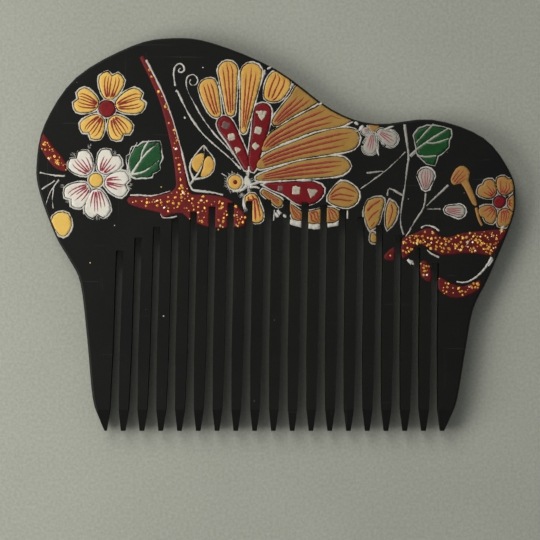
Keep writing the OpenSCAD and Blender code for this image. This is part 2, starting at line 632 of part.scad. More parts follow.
module wing_panel_middle() {
    color(red) fill(wing_panel_middle_fills, [], chip_fills);
}

module wing_panel_lower() {
    color(red) fill(wing_panel_lower_fills, [], chip_fills);
}

// A chip of shell standing in a wing panel, flush with the face
module shell_chip(i) {
    color(pearl) translate([0, 0, fill_z]) linear_extrude(cell_depth) polygon(chip(i));
}

module shell_chip_1() {
    shell_chip(0);
}

module shell_chip_2() {
    shell_chip(1);
}

module shell_chip_3() {
    shell_chip(2);
}

module shell_chip_4() {
    shell_chip(3);
}

module shell_chip_5() {
    shell_chip(4);
}

module shell_chip_6() {
    shell_chip(5);
}

module shell_chip_7() {
    shell_chip(6);
}

module shell_chip_8() {
    shell_chip(7);
}

module shell_chip_9() {
    shell_chip(8);
}

module butterfly_head() {
    color(gold) fill(head_fills, [], pupil_fills);
}

module butterfly_pupil() {
    color(red) fill(pupil_fills);
}

module butterfly_abdomen() {
    color(gold) fill(abdomen_fills);
}

module butterfly_thorax() {
    color(white) fill(thorax_fills);
}

module line_butterfly() {
    color(white) {
        line_round(concat(wing_fills, head_fills, abdomen_fills));
        line_along(wing_strokes);
    }
}

module line_antennae() {
    color(white) line_along(antennae, concat(wing_fills, head_fills));
}

module line_blossom_gold() {
    color(white) line_round(concat(gold_petals, gold_centre), white_petals);
}

module line_blossom_white() {
    color(white) line_round(concat(white_petals, white_centre));
}

module line_blossom_edge() {
    color(white) line_round(concat(edge_petals, edge_centre), trumpet_fills);
}

module line_leaf_left() {
    color(white) {
        line_round(leaf_left_fills, concat(white_petals, gold_petals));
        line_along(veins_left, white_petals);
    }
}

module line_leaf_right() {
    color(white) {
        line_round(leaf_right_fills);
        line_along(veins_right);
    }
}

module line_buds() {
    color(white) {
        line_round(bud_edge_fills, white_petals);
        line_round(bud_pink_upper_fills);
        line_round(bud_pink_lower_fills);
        line_along(bud_pair_lines, [], branch_lines);
    }
}

module line_stems_left() {
    color(white) line_along(stems_left, concat(white_petals, bud_edge_fills));
}

module line_stems_right() {
    color(white) line_along(stems_right,
        concat(bud_pink_upper_fills, bud_pink_lower_fills, leaf_right_fills, trumpet_fills),
        concat(branch_lines, veins_right));
}

module line_lobed_leaf() {
    color(white) line_round(lobed_leaf_fills);
}

module line_branches() {
    color(white) line_along(branch_lines, white_petals);
}

// ---------------------------------------------------------------- what to build

comb_body();
branch_left_end();
branch_main();
branch_right();
branch_right_lower();
gold_flakes_left_end();
gold_flakes_main();
gold_flakes_right();
gold_flakes_right_lower();
blossom_gold_petals();
blossom_gold_centre();
blossom_white_petals();
blossom_white_centre();
blossom_edge_petals();
blossom_edge_centre();
blossom_half_petals();
blossom_half_centre();
leaf_left();
leaf_right();
bud_edge();
bud_pair();
bud_pink_upper();
bud_pink_lower();
trumpet_flower();
lobed_leaf();
wing_cells_upper();
wing_cells_side();
wing_cells_hind();
wing_panel_left();
wing_panel_middle();
wing_panel_lower();
shell_chip_1();
shell_chip_2();
shell_chip_3();
shell_chip_4();
shell_chip_5();
shell_chip_6();
shell_chip_7();
shell_chip_8();
shell_chip_9();
butterfly_head();
butterfly_pupil();
butterfly_abdomen();
butterfly_thorax();
line_butterfly();
line_antennae();
line_blossom_gold();
line_blossom_white();
line_blossom_edge();
line_leaf_left();
line_leaf_right();
line_buds();
line_stems_left();
line_stems_right();
line_lobed_leaf();
line_branches();
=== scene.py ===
"""Looks of the painted lacquer comb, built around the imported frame. Lengths here are in millimetres."""
import math
import random

import bpy
import numpy as np
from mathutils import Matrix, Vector, geometry, noise


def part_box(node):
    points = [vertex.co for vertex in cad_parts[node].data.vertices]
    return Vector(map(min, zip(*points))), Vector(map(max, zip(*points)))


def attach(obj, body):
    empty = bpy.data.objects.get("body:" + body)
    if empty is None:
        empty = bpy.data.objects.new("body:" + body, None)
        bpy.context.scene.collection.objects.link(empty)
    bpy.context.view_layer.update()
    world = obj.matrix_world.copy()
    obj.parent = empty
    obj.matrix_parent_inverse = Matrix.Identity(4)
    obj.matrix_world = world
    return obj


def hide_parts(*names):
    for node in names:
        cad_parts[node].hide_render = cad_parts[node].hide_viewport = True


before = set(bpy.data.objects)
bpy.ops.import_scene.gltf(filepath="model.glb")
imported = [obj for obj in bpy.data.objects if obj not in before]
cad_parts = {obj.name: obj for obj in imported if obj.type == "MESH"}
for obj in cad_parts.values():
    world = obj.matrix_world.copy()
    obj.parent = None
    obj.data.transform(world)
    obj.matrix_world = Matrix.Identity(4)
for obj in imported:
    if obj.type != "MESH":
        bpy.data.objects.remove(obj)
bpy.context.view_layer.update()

MM = 0.001                       # metres in one millimetre
FACE_Z = 5.0                     # the board's front face
FILL_TOP = 5.02                  # a coat stands a little over the face
FILL_LOW = 4.752                 # and starts just over the bottom of its cell
OVERFLOW = 0.09                  # how far a coat runs over the edge of its cell
RELIEF = 0.010                   # unevenness of a coat's top
GRID = 0.42                      # spacing of the points inside a coat
ROW = 0.87                       # height of a row of those points, in spacings
BATCH = 400                      # how many points are tested against an outline at once
EDGE = 0.16                      # spacing of the points along a coat's outline
LINE_EDGE = 0.13                 # and along a brushed white line
SWELL = 2.6                      # length over which a brushed line swells and thins
SWELL_BIAS = 0.35                # how much more of a line is thin than thick
SET_BACK = 0.006                 # gap opened where an outline touches itself
SET_BACK_SHARE = 0.3             # and at most this share of the way to the neighbouring points
STROKE_STEP = 0.35               # spacing of the points along a coat's strokes
SINK = 0.008                     # how far the edges of a stroke lie under its path
ON_PAINT = 0.004                 # how far the path of a stroke lies over its coat
THIN = 0.012                     # height of the hairs and touches on the bare board
ALONG_X = Vector((1, 0))
CORNER = math.radians(32)        # a sharper turn than this is kept as a corner


def srgb(red, green, blue):
    """A colour given as 0 to 255 screen values, as linear light."""
    out = []
    for value in (red, green, blue):
        c = value / 255
        out.append(c / 12.92 if c <= 0.04045 else ((c + 0.055) / 1.055) ** 2.4)
    return (*out, 1.0)


# ---------------------------------------------------------------- outlines from the frame

def top_loops(node):
    """The outlines of the node's top faces, as lists of points; the filled side is on the left."""
    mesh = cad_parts[node].data
    co = np.empty(len(mesh.vertices) * 3)
    mesh.vertices.foreach_get("co", co)
    co = co.reshape(-1, 3) / MM
    top = co[:, 2].max() - 0.01
    ids = {}
    weld = [ids.setdefault((round(x, 3), round(y, 3)), len(ids)) for x, y, _ in co]
    place = {i: p for p, i in ids.items()}
    half = set()
    for face in mesh.polygons:
        ring = list(face.vertices)
        if min(co[i][2] for i in ring) > top and face.normal.z > 0.5:
            for a, b in zip(ring, ring[1:] + ring[:1]):
                if weld[a] != weld[b]:
                    half.add((weld[a], weld[b]))
    follow = {}
    for a, b in sorted(half):
        if (b, a) not in half:
            follow.setdefault(a, []).append(b)
    loops = []
    while follow:
        start = min(follow)
        loop = [start]
        here = follow[start].pop(0)
        while here != start:
            loop.append(here)
            step = follow[here].pop(0)
            if not follow[here]:
                del follow[here]
            here = step
        if not follow[start]:
            del follow[start]
        loops.append([Vector(place[i]) for i in loop])
    return loops


def area(loop):
    """Signed area: an outer edge is positive and a hole is negative."""
    return sum(a.x * b.y - b.x * a.y for a, b in zip(loop, loop[1:] + loop[:1])) / 2


def inside(point, loops):
    """True where the point is in the filled part of the loops."""
    odd = False
    for loop in loops:
        for a, b in zip(loop, loop[1:] + loop[:1]):
            if (a.y > point.y) != (b.y > point.y):
                if point.x < a.x + (b.x - a.x) * (point.y - a.y) / (b.y - a.y):
                    odd = not odd
    return odd


def islands(node):
    """The node's separate flat solids: each is its outer loop followed by its holes."""
    loops = top_loops(node)
    outers = [loop for loop in loops if area(loop) > 0]
    holes = [loop for loop in loops if area(loop) < 0]
    out = [[outer] + [h for h in holes if inside(h[0], [outer])] for outer in outers]
    return sorted(out, key=lambda rings: (round(rings[0][0].x, 3), round(rings[0][0].y, 3)))


def middle(loop):
    """The centre of the loop's area."""
    total = area(loop)
    x = y = 0.0
    for a, b in zip(loop, loop[1:] + loop[:1]):
        cross = a.x * b.y - b.x * a.y
        x += (a.x + b.x) * cross
        y += (a.y + b.y) * cross
    return Vector((x / (6 * total), y / (6 * total)))


def turn(a, b, c):
    """How sharply a line turns at b."""
    u = b - a
    v = c - b
    if u.length < 1e-6 or v.length < 1e-6:
        return 0.0
    return abs(u.angle(v))


def resample(loop, step):
    """The loop with long edges split and crowded points thinned; corners stay."""
    n = len(loop)
    kept = []
    for i, p in enumerate(loop):
        sharp = turn(loop[i - 1], p, loop[(i + 1) % n]) > CORNER
        if sharp or not kept or (p - kept[-1]).length > step * 0.6:
            kept.append(p)
    if len(kept) < 3:
        kept = list(loop)
    out = []
    for a, b in zip(kept, kept[1:] + kept[:1]):
        parts = max(1, round((b - a).length / step))
        out += [a.lerp(b, k / parts) for k in range(parts)]
    return out


def ragged(loop, amount, scale, seed, grow=0.0, swell=0.0):
    """The loop pushed in and out by noise, the way a hand-painted edge wanders, swells and thins."""
    n = len(loop)
    out = []
    for i, p in enumerate(loop):
        along = loop[(i + 1) % n] - loop[i - 1]
        if along.length < 1e-6:
            out.append(p)
            continue
        side = Vector((along.y, -along.x)).normalized()
        push = noise.noise(Vector((p.x / scale, p.y / scale, seed)))
        push += 0.5 * noise.noise(Vector((p.x * 2.3 / scale, p.y * 2.3 / scale, seed + 7.7)))
        wide = swell * (noise.noise(Vector((p.x / SWELL, p.y / SWELL, seed + 3.3))) * 2 - SWELL_BIAS)
        out.append(p + side * (amount * push + wide + grow))
    return out


# ---------------------------------------------------------------- meshes

class Sheet:
    """Collects points, faces and grain coordinates, and makes one object of them."""

    def __init__(self, name):
        self.name = name
        self.verts = []
        self.faces = []
        self.grain = []
        self.tone = []

    def point(self, x, y, z, grain=(0.0, 0.0), tone=0.0):
        """Adds a point, given in mm, and returns its number."""
        self.verts.append((x * MM, y * MM, z * MM))
        self.grain.append(grain)
        self.tone.append(tone)
        return len(self.verts) - 1

    def make(self, material, replaces=(), smooth=True):
        """Makes the object, which rides on the comb's one body."""
        mesh = bpy.data.meshes.new(self.name)
        mesh.from_pydata(self.verts, [], self.faces)
        uv = mesh.uv_layers.new(name="grain")
        loop_vert = np.empty(len(mesh.loops), int)
        mesh.loops.foreach_get("vertex_index", loop_vert)
        uv.data.foreach_set("uv", np.array(self.grain)[loop_vert].ravel())
        tone = mesh.attributes.new("tone", "FLOAT", "POINT")
        tone.data.foreach_set("value", np.array(self.tone, float))
        mesh.polygons.foreach_set("use_smooth", [smooth] * len(mesh.polygons))
        mesh.update()
        piece = bpy.data.objects.new(self.name, mesh)
        bpy.context.scene.collection.objects.link(piece)
        mesh.materials.append(material)
        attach(piece, "root")
        for node in replaces:
            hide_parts(node)
        return piece


def segments(loops):
    """All the outline edges, as two arrays of points."""
    starts = []
    ends = []
    for loop in loops:
        starts += [(p.x, p.y) for p in loop]
        ends += [(p.x, p.y) for p in loop[1:] + loop[:1]]
    return np.array(starts), np.array(ends)


def filled(points, starts, ends, margin=0.0):
    """For each point, whether it is in the filled part and at least a margin from its outline."""
    keep = np.zeros(len(points), bool)
    step = ends - starts
    size = np.maximum((step ** 2).sum(1), 1e-12)
    for first in range(0, len(points), BATCH):
        p = points[first:first + BATCH, None, :]
        above = (starts[None, :, 1] > p[:, :, 1]) != (ends[None, :, 1] > p[:, :, 1])
        rise = np.where(np.abs(step[:, 1]) < 1e-12, 1e-12, step[:, 1])
        cross = starts[None, :, 0] + step[None, :, 0] * (p[:, :, 1] - starts[None, :, 1]) / rise
        odd = (above & (p[:, :, 0] < cross)).sum(1) % 2 == 1
        if margin:
            t = np.clip(((p - starts[None]) * step[None]).sum(2) / size[None], 0, 1)
            gap = p - starts[None] - step[None] * t[:, :, None]
            odd &= (gap ** 2).sum(2).min(1) > margin ** 2
        keep[first:first + BATCH] = odd
    return keep


def relief(x, y, seed):
    """The small unevenness of a brushed coat, in mm."""
    return RELIEF * noise.noise(Vector((x * 0.9, y * 0.9, seed)))


def unpinch(verts, tris, origin):
    """Where parts of a sheet touch at one point only, each gets its own point, set back a little."""
    around = {}
    for n, t in enumerate(tris):
        for i in t:
            around.setdefault(i, []).append(n)
    for i, near in around.items():
        fans = []
        for n in near:
            links = set(tris[n]) - {i}
            joined = [f for f in fans if f[1] & links]
            fans = [f for f in fans if not f[1] & links]
            members = [n] + [m for f in joined for m in f[0]]
            fans.append((members, links.union(*[f[1] for f in joined])))
        if len(fans) == 1:
            continue
        for members, links in fans:
            inward = sum((verts[k] for k in links), Vector((0, 0))) / len(links) - verts[i]
            verts.append(verts[i] + inward * min(SET_BACK / inward.length, SET_BACK_SHARE))
            origin.append(origin[i])
            for m in members:
                tris[m] = [len(verts) - 1 if k == i else k for k in tris[m]]


def coat(sheet, rings, low, high, axis, seed, rough, step=EDGE, dome=0.014, grid=GRID, tone=0.0,
         grow=0.0, swell=0.0):
    """A painted coat: a closed solid with a wavy rim, rounded edges and an uneven top.

    rough is how far the rim wanders, step and grid are the spacings of the points along and inside
    it, and dome is how much lower the top lies at the rim.
    """
    loops = [ragged(resample(r, step), rough, 0.55, seed, grow, swell) for r in rings]
    coords = []
    edges = []
    for loop in loops:
        first = len(coords)
        coords += [p.copy() for p in loop]
        edges += [(first + i, first + (i + 1) % len(loop)) for i in range(len(loop))]
    rim = len(coords)
    starts, ends = segments(loops)
    if grid:
        xs = [p.x for p in loops[0]]
        ys = [p.y for p in loops[0]]
        rows = int((max(ys) - min(ys)) / (grid * ROW)) + 1
        cols = int((max(xs) - min(xs)) / grid) + 1
        spots = np.array([
            (min(xs) + (c + 0.5 * (r % 2)) * grid, min(ys) + r * grid * ROW)
            for r in range(rows + 1) for c in range(cols + 1)
        ])
        coords += [Vector(p) for p in spots[filled(spots, starts, ends, grid * 0.4)]]
    verts, _, tris, origin, _, _ = geometry.delaunay_2d_cdt(coords, edges, [], 0, 1e-5)
    centres = np.array([sum((verts[i] for i in t), Vector((0, 0))) / 3 for t in tris])
    tris = [t for t, real in zip(tris, filled(centres, starts, ends)) if real]
    unpinch(verts, tris, origin)
    cross = Vector((-axis.y, axis.x))
    top = {}
    base = {}
    for i in sorted({i for t in tris for i in t}):
        v = verts[i]
        on_rim = not origin[i] or min(origin[i]) < rim
        z = high + relief(v.x, v.y, seed) - (dome if on_rim else 0.0)
        grain = (v.dot(axis), v.dot(cross))
        top[i] = sheet.point(v.x, v.y, z, grain, tone)
        base[i] = sheet.point(v.x, v.y, low, grain, tone)
    used = {}                    # a dictionary, because it keeps the order of the edges
    for t in tris:
        a, b, c = t
        if (verts[b] - verts[a]).cross(verts[c] - verts[a]) < 0:
            a, b, c = a, c, b
        sheet.faces.append((top[a], top[b], top[c]))
        sheet.faces.append((base[a], base[c], base[b]))
        for e in ((a, b), (b, c), (c, a)):
            used[e] = True
    for a, b in used:
        if (b, a) not in used:
            sheet.faces.append((top[a], base[a], base[b], top[b]))


def brush(sheet, path, widths, lift, seed, tones=None, wander=0.0, height=0.022):
    """A brush stroke: a closed ridge along a path, pointed at both ends."""
    count = len(path)
    sides = []
    length = 0.0
    for i, p in enumerate(path):
        ahead = path[min(i + 1, count - 1)] - path[max(i - 1, 0)]
        ahead = ahead.normalized() if ahead.length > 1e-9 else Vector((1, 0))
        side = Vector((-ahead.y, ahead.x))
        if i:
            length += (p - path[i - 1]).length
        shake = wander * noise.noise(Vector((length * 1.9, seed, 3.1)))
        swell = 1 + 0.35 * noise.noise(Vector((length * 2.7, seed, 8.4)))
        half = widths[i] * swell / 2
        c = p + side * shake
        tone = tones[i] if tones else 0.0
        z = lift(c.x, c.y)
        sides.append((
            sheet.point(c.x + side.x * half, c.y + side.y * half, z - SINK, (length, half), tone),
            sheet.point(c.x, c.y, z + height, (length, 0.0), tone),
            sheet.point(c.x - side.x * half, c.y - side.y * half, z - SINK, (length, -half), tone),
        ))
    for (l0, m0, r0), (l1, m1, r1) in zip(sides, sides[1:]):
        sheet.faces += [(l0, m0, m1, l1), (m0, r0, r1, m1), (r0, l0, l1, r1)]
    l0, m0, r0 = sides[0]
    l1, m1, r1 = sides[-1]
    sheet.faces += [(l0, r0, m0), (l1, m1, r1)]


def span_at(loops, origin, axis, t):
    """The lowest and highest sideways place of an outline at a distance t along the axis."""
    cross = Vector((-axis.y, axis.x))
    hits = []
    for a, b in zip(loops[0], loops[0][1:] + loops[0][:1]):
        ta = (a - origin).dot(axis) - t
        tb = (b - origin).dot(axis) - t
        if (ta > 0) != (tb > 0):
            p = a.lerp(b, ta / (ta - tb))
            hits.append((p - origin).dot(cross))
    if len(hits) < 2:
        return None
    return min(hits), max(hits)


def stripes(sheet, rings, root, count, widths, reach, seed, lift, spread, share):
    """Strokes that run from the root end of a coat towards its tip and fan out with it.

    widths are those at a stroke's two ends. reach and spread are how far the strokes go and fan
    out, as shares of the coat, and share is how much of its lane a stroke may fill.
    """
    rng = random.Random(seed)
    centre = middle(rings[0])
    axis = (centre - root).normalized()
    cross = Vector((-axis.y, axis.x))
    along = [(p - root).dot(axis) for p in rings[0]]
    near = min(along)
    far = max(along)
    for k in range(count):
        place = ((k + 0.5) / count * 2 - 1) * spread + rng.uniform(-0.06, 0.06)
        first = 0.03 + rng.uniform(0.0, 0.06)
        last = rng.uniform(*reach) - 0.05 * abs(place)
        path = []
        wide = []
        tones = []
        steps = max(8, int((far - near) * (last - first) / STROKE_STEP))
        for i in range(steps + 1):
            s = i / steps
            t = near + (far - near) * (first + (last - first) * s)
            ends = span_at(rings, root, axis, t)
            if not ends:
                continue
            lo, hi = ends
            sideways = (lo + hi) / 2 + (hi - lo) / 2 * place
            path.append(root + axis * t + cross * sideways)
            taper = min(1.0, s / 0.06 + 0.4) * min(1.0, (1 - s) / 0.16 + 0.15)
            room = max(0.08, (hi - lo) / count * share)
            wide.append(min(room, (widths[0] + (widths[1] - widths[0]) * s) * taper))
            tones.append(s)
        if len(path) > 3:
            brush(sheet, path, wide, lift, seed + k * 1.7, tones, wander=0.05)


# ---------------------------------------------------------------- materials

class Graph:
    """A small helper for building a material's nodes."""

    def __init__(self, name):
        self.material = bpy.data.materials.new(name)
        self.material.use_nodes = True
        self.tree = self.material.node_tree
        self.tree.nodes.clear()
        self.out = self.add("ShaderNodeOutputMaterial")
        self.shader = self.add("ShaderNodeBsdfPrincipled")
        self.link(self.shader.outputs["BSDF"], self.out.inputs["Surface"])

    def add(self, kind, **settings):
        node = self.tree.nodes.new(kind)
        for key, value in settings.items():
            setattr(node, key, value)
        return node

    def link(self, a, b):
        self.tree.links.new(a, b)

    def feed(self, socket, value):
        """Gives an input a link or a plain value."""
        if isinstance(value, bpy.types.NodeSocket):
            self.link(value, socket)
        else:
            socket.default_value = value

    def surface(self, name, value):
        """Sets or links one of the shader's own inputs."""
        self.feed(self.shader.inputs[name], value)

    def tone(self):
        """The tone that each point of the mesh carries."""
        return self.add("ShaderNodeAttribute", attribute_name="tone").outputs["Fac"]

    def place(self, scale, uv=None):
        """Coordinates scaled along each axis: the object's own, or those of a UV layer."""
        if uv:
            start = self.add("ShaderNodeUVMap", uv_map=uv).outputs["UV"]
        else:
            start = self.add("ShaderNodeTexCoord").outputs["Object"]
        mapping = self.add("ShaderNodeMapping")
        mapping.inputs["Scale"].default_value = scale
        self.link(start, mapping.inputs["Vector"])
        return mapping.outputs["Vector"]

    def around(self):
        """The object's coordinates in mm."""
        return self.place((1000, 1000, 1000))

    def noise(self, coords, scale, detail=3.0, rough=0.55, distortion=0.0):
        node = self.add("ShaderNodeTexNoise")
        node.inputs["Scale"].default_value = scale
        node.inputs["Detail"].default_value = detail
        node.inputs["Roughness"].default_value = rough
        node.inputs["Distortion"].default_value = distortion
        self.link(coords, node.inputs["Vector"])
        return node.outputs["Fac"]

    def ramp(self, value, stops):
        """A colour for the value: each stop is its place from 0 to 1 and its colour."""
        node = self.add("ShaderNodeValToRGB")
        points = node.color_ramp.elements
        while len(points) < len(stops):
            points.new(0.5)
        for point, (position, colour) in zip(points, stops):
            point.position = position
            point.color = colour
        self.link(value, node.inputs["Fac"])
        return node.outputs["Color"]

    def mix(self, factor, a, b, blend="MIX"):
        """Two colours mixed; 6, 7 and 2 are the colour sockets of the Mix node."""
        node = self.add("ShaderNodeMix", data_type="RGBA", blend_type=blend)
        for socket, value in ((0, factor), (6, a), (7, b)):
            self.feed(node.inputs[socket], value)
        return node.outputs[2]

    def maths(self, operation, a, b):
        node = self.add("ShaderNodeMath", operation=operation)
        self.feed(node.inputs[0], a)
        self.feed(node.inputs[1], b)
        return node.outputs[0]

    def bump(self, height, strength, distance):
        """Fine relief of the surface; the distance is in mm."""
        node = self.add("ShaderNodeBump")
        node.inputs["Strength"].default_value = strength
        node.inputs["Distance"].default_value = distance * MM
        self.link(height, node.inputs["Height"])
        self.link(node.outputs["Normal"], self.shader.inputs["Normal"])

    def grey(self, value, low, high):
        """A value stretched from 0-1 to low-high."""
        node = self.add("ShaderNodeMapRange")
        node.inputs["To Min"].default_value = low
        node.inputs["To Max"].default_value = high
        self.link(value, node.inputs["Value"])
        return node.outputs["Result"]


def flat(value):
    """A grey, given as linear light."""
    return (value, value, value, 1.0)


def paint(name, deep, mid, light, rough, coat_weight=0.0):
    """Brushed colour: streaks along the stroke, cloudy variation, and tiny pits."""
    g = Graph(name)
    grain = g.place((1.0, 5.0, 1.0), uv="grain")
    streaks = g.noise(grain, 2.2, 4.0, 0.6, 0.3)
    clouds = g.noise(g.around(), 0.45, 2.0)
    specks = g.noise(g.around(), 6.0, 2.0, 0.7)
    value = g.maths("ADD", g.maths("MULTIPLY", streaks, 0.6), g.maths("MULTIPLY", clouds, 0.5))
    colour = g.ramp(value, [(0.22, srgb(*deep)), (0.52, srgb(*mid)), (0.85, srgb(*light))])
    pits = g.ramp(specks, [(0.30, flat(0.72)), (0.42, flat(1.0))])
    colour = g.mix(0.8, colour, pits, "MULTIPLY")
    g.surface("Base Color", colour)
    g.surface("Roughness", g.grey(streaks, rough - 0.08, rough + 0.12))
    g.surface("Specular IOR Level", 0.24)
    g.surface("Coat Weight", coat_weight)
    g.surface("Coat Roughness", 0.22)
    height = g.maths("ADD", streaks, g.maths("MULTIPLY", specks, 0.4))
    g.bump(height, 0.3, 0.04)
    return g.material


def stripe_paint(name, strong, worn):
    """Stroke colour: full at the start of the stroke, thin and worn towards its end."""
    g = Graph(name)
    tone = g.tone()
    streaks = g.noise(g.place((1.6, 9.0, 1.0), uv="grain"), 2.0, 4.0, 0.65)
    value = g.maths("ADD", g.maths("MULTIPLY", tone, 0.5), g.maths("MULTIPLY", streaks, 0.5))
    g.surface("Base Color", g.ramp(value, [(0.25, srgb(*strong)), (0.95, srgb(*worn))]))
    g.surface("Roughness", g.grey(streaks, 0.42, 0.62))
    g.bump(streaks, 0.4, 0.04)
    return g.material


def lacquer():
    """Near-black lacquer: satin, slightly uneven, with fine scratches and dust."""
    g = Graph("lacquer_black")
    around = g.around()
    clouds = g.noise(around, 0.09, 3.0, 0.5)
    fine = g.noise(around, 2.6, 4.0, 0.6)
    scratch_a = g.noise(g.place((60, 1500, 400)), 1.0, 2.0, 0.5, 0.4)
    scratch_b = g.noise(g.place((1700, 45, 400)), 1.0, 2.0, 0.5, 0.6)
    hair_a = g.ramp(scratch_a, [(0.70, flat(0.0)), (0.735, flat(1.0))])
    hair_b = g.ramp(scratch_b, [(0.71, flat(0.0)), (0.74, flat(1.0))])
    hairs = g.mix(1.0, hair_a, hair_b, "ADD")
    cells = g.add("ShaderNodeTexVoronoi", feature="F1")
    cells.inputs["Scale"].default_value = 0.34
    g.link(around, cells.inputs["Vector"])
    dots = g.ramp(cells.outputs["Distance"], [(0.022, flat(1.0)), (0.040, flat(0.0))])
    rare = g.ramp(g.noise(around, 0.21, 1.0), [(0.50, flat(0.0)), (0.58, flat(1.0))])
    dust = g.mix(1.0, dots, rare, "MULTIPLY")
    base = g.ramp(clouds, [(0.3, srgb(9, 9, 8)), (0.7, srgb(15, 15, 12))])
    base = g.mix(g.maths("MULTIPLY", hairs, 0.10), base, srgb(96, 94, 86))
    base = g.mix(g.maths("MULTIPLY", dust, 0.55), base, srgb(140, 136, 120))
    g.surface("Base Color", base)
    wear = g.maths("ADD", g.maths("MULTIPLY", fine, 0.25), g.maths("MULTIPLY", clouds, 0.25))
    g.surface("Roughness", g.grey(wear, 0.42, 0.70))
    g.surface("Specular IOR Level", 0.2)
    height = g.maths("ADD", g.maths("MULTIPLY", fine, 0.6), g.maths("MULTIPLY", hairs, -0.4))
    g.bump(height, 0.35, 0.04)
    return g.material


def white_paint(name, thin, mid, full):
    """Chalky white line paint, a little grey and yellow in places."""
    g = Graph(name)
    around = g.around()
    clouds = g.noise(around, 0.8, 3.0)
    grains = g.noise(around, 7.0, 3.0, 0.7)
    value = g.maths("ADD", g.maths("MULTIPLY", clouds, 0.5), g.maths("MULTIPLY", grains, 0.5))
    colour = g.ramp(value, [(0.32, srgb(*thin)), (0.48, srgb(*mid)), (0.7, srgb(*full))])
    g.surface("Base Color", colour)
    g.surface("Roughness", g.grey(grains, 0.62, 0.85))
    g.bump(grains, 0.35, 0.05)
    return g.material


def foil():
    """Gold foil flakes: each flake has its own tone, from deep to pale gold; the palest, near-white tones
    are painted highlights, flakes shown as catching the light.
    """
    g = Graph("flake_gold")
    tone = g.tone()
    crumple = g.noise(g.around(), 5.0, 3.0, 0.7)
    # the top of this ramp, pale to near white, is painted highlight; the rest is the foil's own range of
    # gold
    colour = g.ramp(tone, [(0.0, srgb(200, 120, 34)), (0.45, srgb(242, 172, 56)),
                           (0.85, srgb(255, 206, 92)), (1.0, srgb(250, 240, 214))])
    dents = g.ramp(crumple, [(0.3, flat(0.7)), (0.55, flat(1.0))])
    g.surface("Base Color", g.mix(0.7, colour, dents, "MULTIPLY"))
    g.surface("Metallic", 0.45)
    g.surface("Roughness", g.grey(crumple, 0.25, 0.5))
    g.bump(crumple, 0.7, 0.08)
    return g.material


def pearl():
    """Shell: grey-white layers that shift to pink and green."""
    g = Graph("shell_pearl")
    around = g.around()
    layers = g.noise(around, 0.75, 4.0, 0.6, 1.6)
    grains = g.noise(around, 3.2, 3.0, 0.6)
    colour = g.ramp(layers, [(0.30, srgb(128, 116, 112)), (0.42, srgb(186, 164, 158)),
                             (0.50, srgb(172, 180, 150)), (0.58, srgb(204, 198, 164)),
                             (0.70, srgb(150, 162, 158))])
    shade = g.tone()
    colour = g.mix(shade, colour, srgb(74, 22, 24))
    g.surface("Base Color", colour)
    g.surface("Coat Weight", 0.8)
    g.surface("Coat Roughness", 0.12)
    g.surface("Roughness", g.grey(grains, 0.25, 0.5))
    g.bump(layers, 0.35, 0.06)
    return g.material


def paper():
    """The plain pale floor: fine paper tooth."""
    g = Graph("floor_paper")
    around = g.around()
    fine = g.noise(around, 1.6, 4.0, 0.6)
    soft = g.noise(around, 0.03, 2.0)
    value = g.maths("ADD", g.maths("MULTIPLY", fine, 0.75), g.maths("MULTIPLY", soft, 0.25))
    colour = g.ramp(value, [(0.35, srgb(158, 160, 148)), (0.65, srgb(174, 176, 164))])
    g.surface("Base Color", colour)
    g.surface("Roughness", 0.9)
    g.bump(fine, 0.4, 0.12)
    return g.material


# the darker mixes are mostly for motifs further to the right: their darkness is painted shade, for light
# that falls off towards the right; the deep bark is also a deeper red in itself
GOLD = paint("paint_gold", (180, 124, 40), (212, 164, 76), (226, 182, 94), 0.5)
PALE_GOLD = paint("paint_pale_gold", (196, 148, 58), (228, 186, 88), (238, 200, 110), 0.5)
# painted shade: the gold made darker, for cells further to the right
SHADED_GOLD = paint("paint_shaded_gold", (135, 94, 32), (162, 124, 58), (174, 140, 74), 0.5)
ORANGE = paint("paint_orange", (124, 82, 32), (160, 116, 57), (174, 132, 70), 0.5)
RED = paint("paint_red", (78, 2, 8), (112, 4, 14), (132, 14, 22), 0.45, 0.03)
DARK_RED = paint("paint_centre", (90, 8, 12), (122, 17, 20), (142, 34, 32), 0.48)
GREEN = paint("paint_green", (12, 52, 24), (24, 76, 38), (42, 98, 54), 0.45, 0.04)
DARK_GREEN = paint("paint_dark_green", (5, 42, 12), (10, 66, 22), (22, 86, 34), 0.45, 0.04)
BARK = paint("paint_bark", (72, 8, 12), (106, 20, 24), (132, 38, 38), 0.62)
# a deeper red, and darker as painted shade for the branches on the right
DEEP_SHADED_BARK = paint("paint_deep_shaded_bark", (58, 3, 8), (88, 8, 16), (112, 20, 24), 0.6)
WHITE = paint("paint_white", (176, 170, 156), (224, 220, 205), (236, 232, 218), 0.66)
# painted shade: the white made grey, for petals and buds further to the right
SHADED_WHITE = paint("paint_shaded_white", (122, 118, 108), (160, 157, 144), (178, 174, 160), 0.66)
RED_STRIPE = stripe_paint("stripe_red", (146, 22, 32), (172, 66, 50))
PINK_STRIPE = stripe_paint("stripe_pink", (156, 36, 60), (186, 92, 106))
CHALK = white_paint("line_white", (118, 115, 105), (196, 193, 181), (216, 213, 201))
# painted shade: a darker copy of the line white, for the lines on the right
SHADED_CHALK = white_paint("line_shaded_white", (96, 94, 86), (156, 153, 142), (174, 171, 160))
FLAKE = foil()
PEARL = pearl()


# ---------------------------------------------------------------- painted coats and their strokes

def on_fill(seed):
    """Where a stroke lies: on the coat of that seed."""
    return lambda x, y: FILL_TOP + relief(x, y, seed) + ON_PAINT


def on_face(_x, _y):
    """Where a stroke lies: on the bare board."""
    return FACE_Z + SINK


def centre_of(node):
    """The centre of the node's box, seen from above."""
    low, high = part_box(node)
    return Vector(((low.x + high.x) / 2 / MM, (low.y + high.y) / 2 / MM))


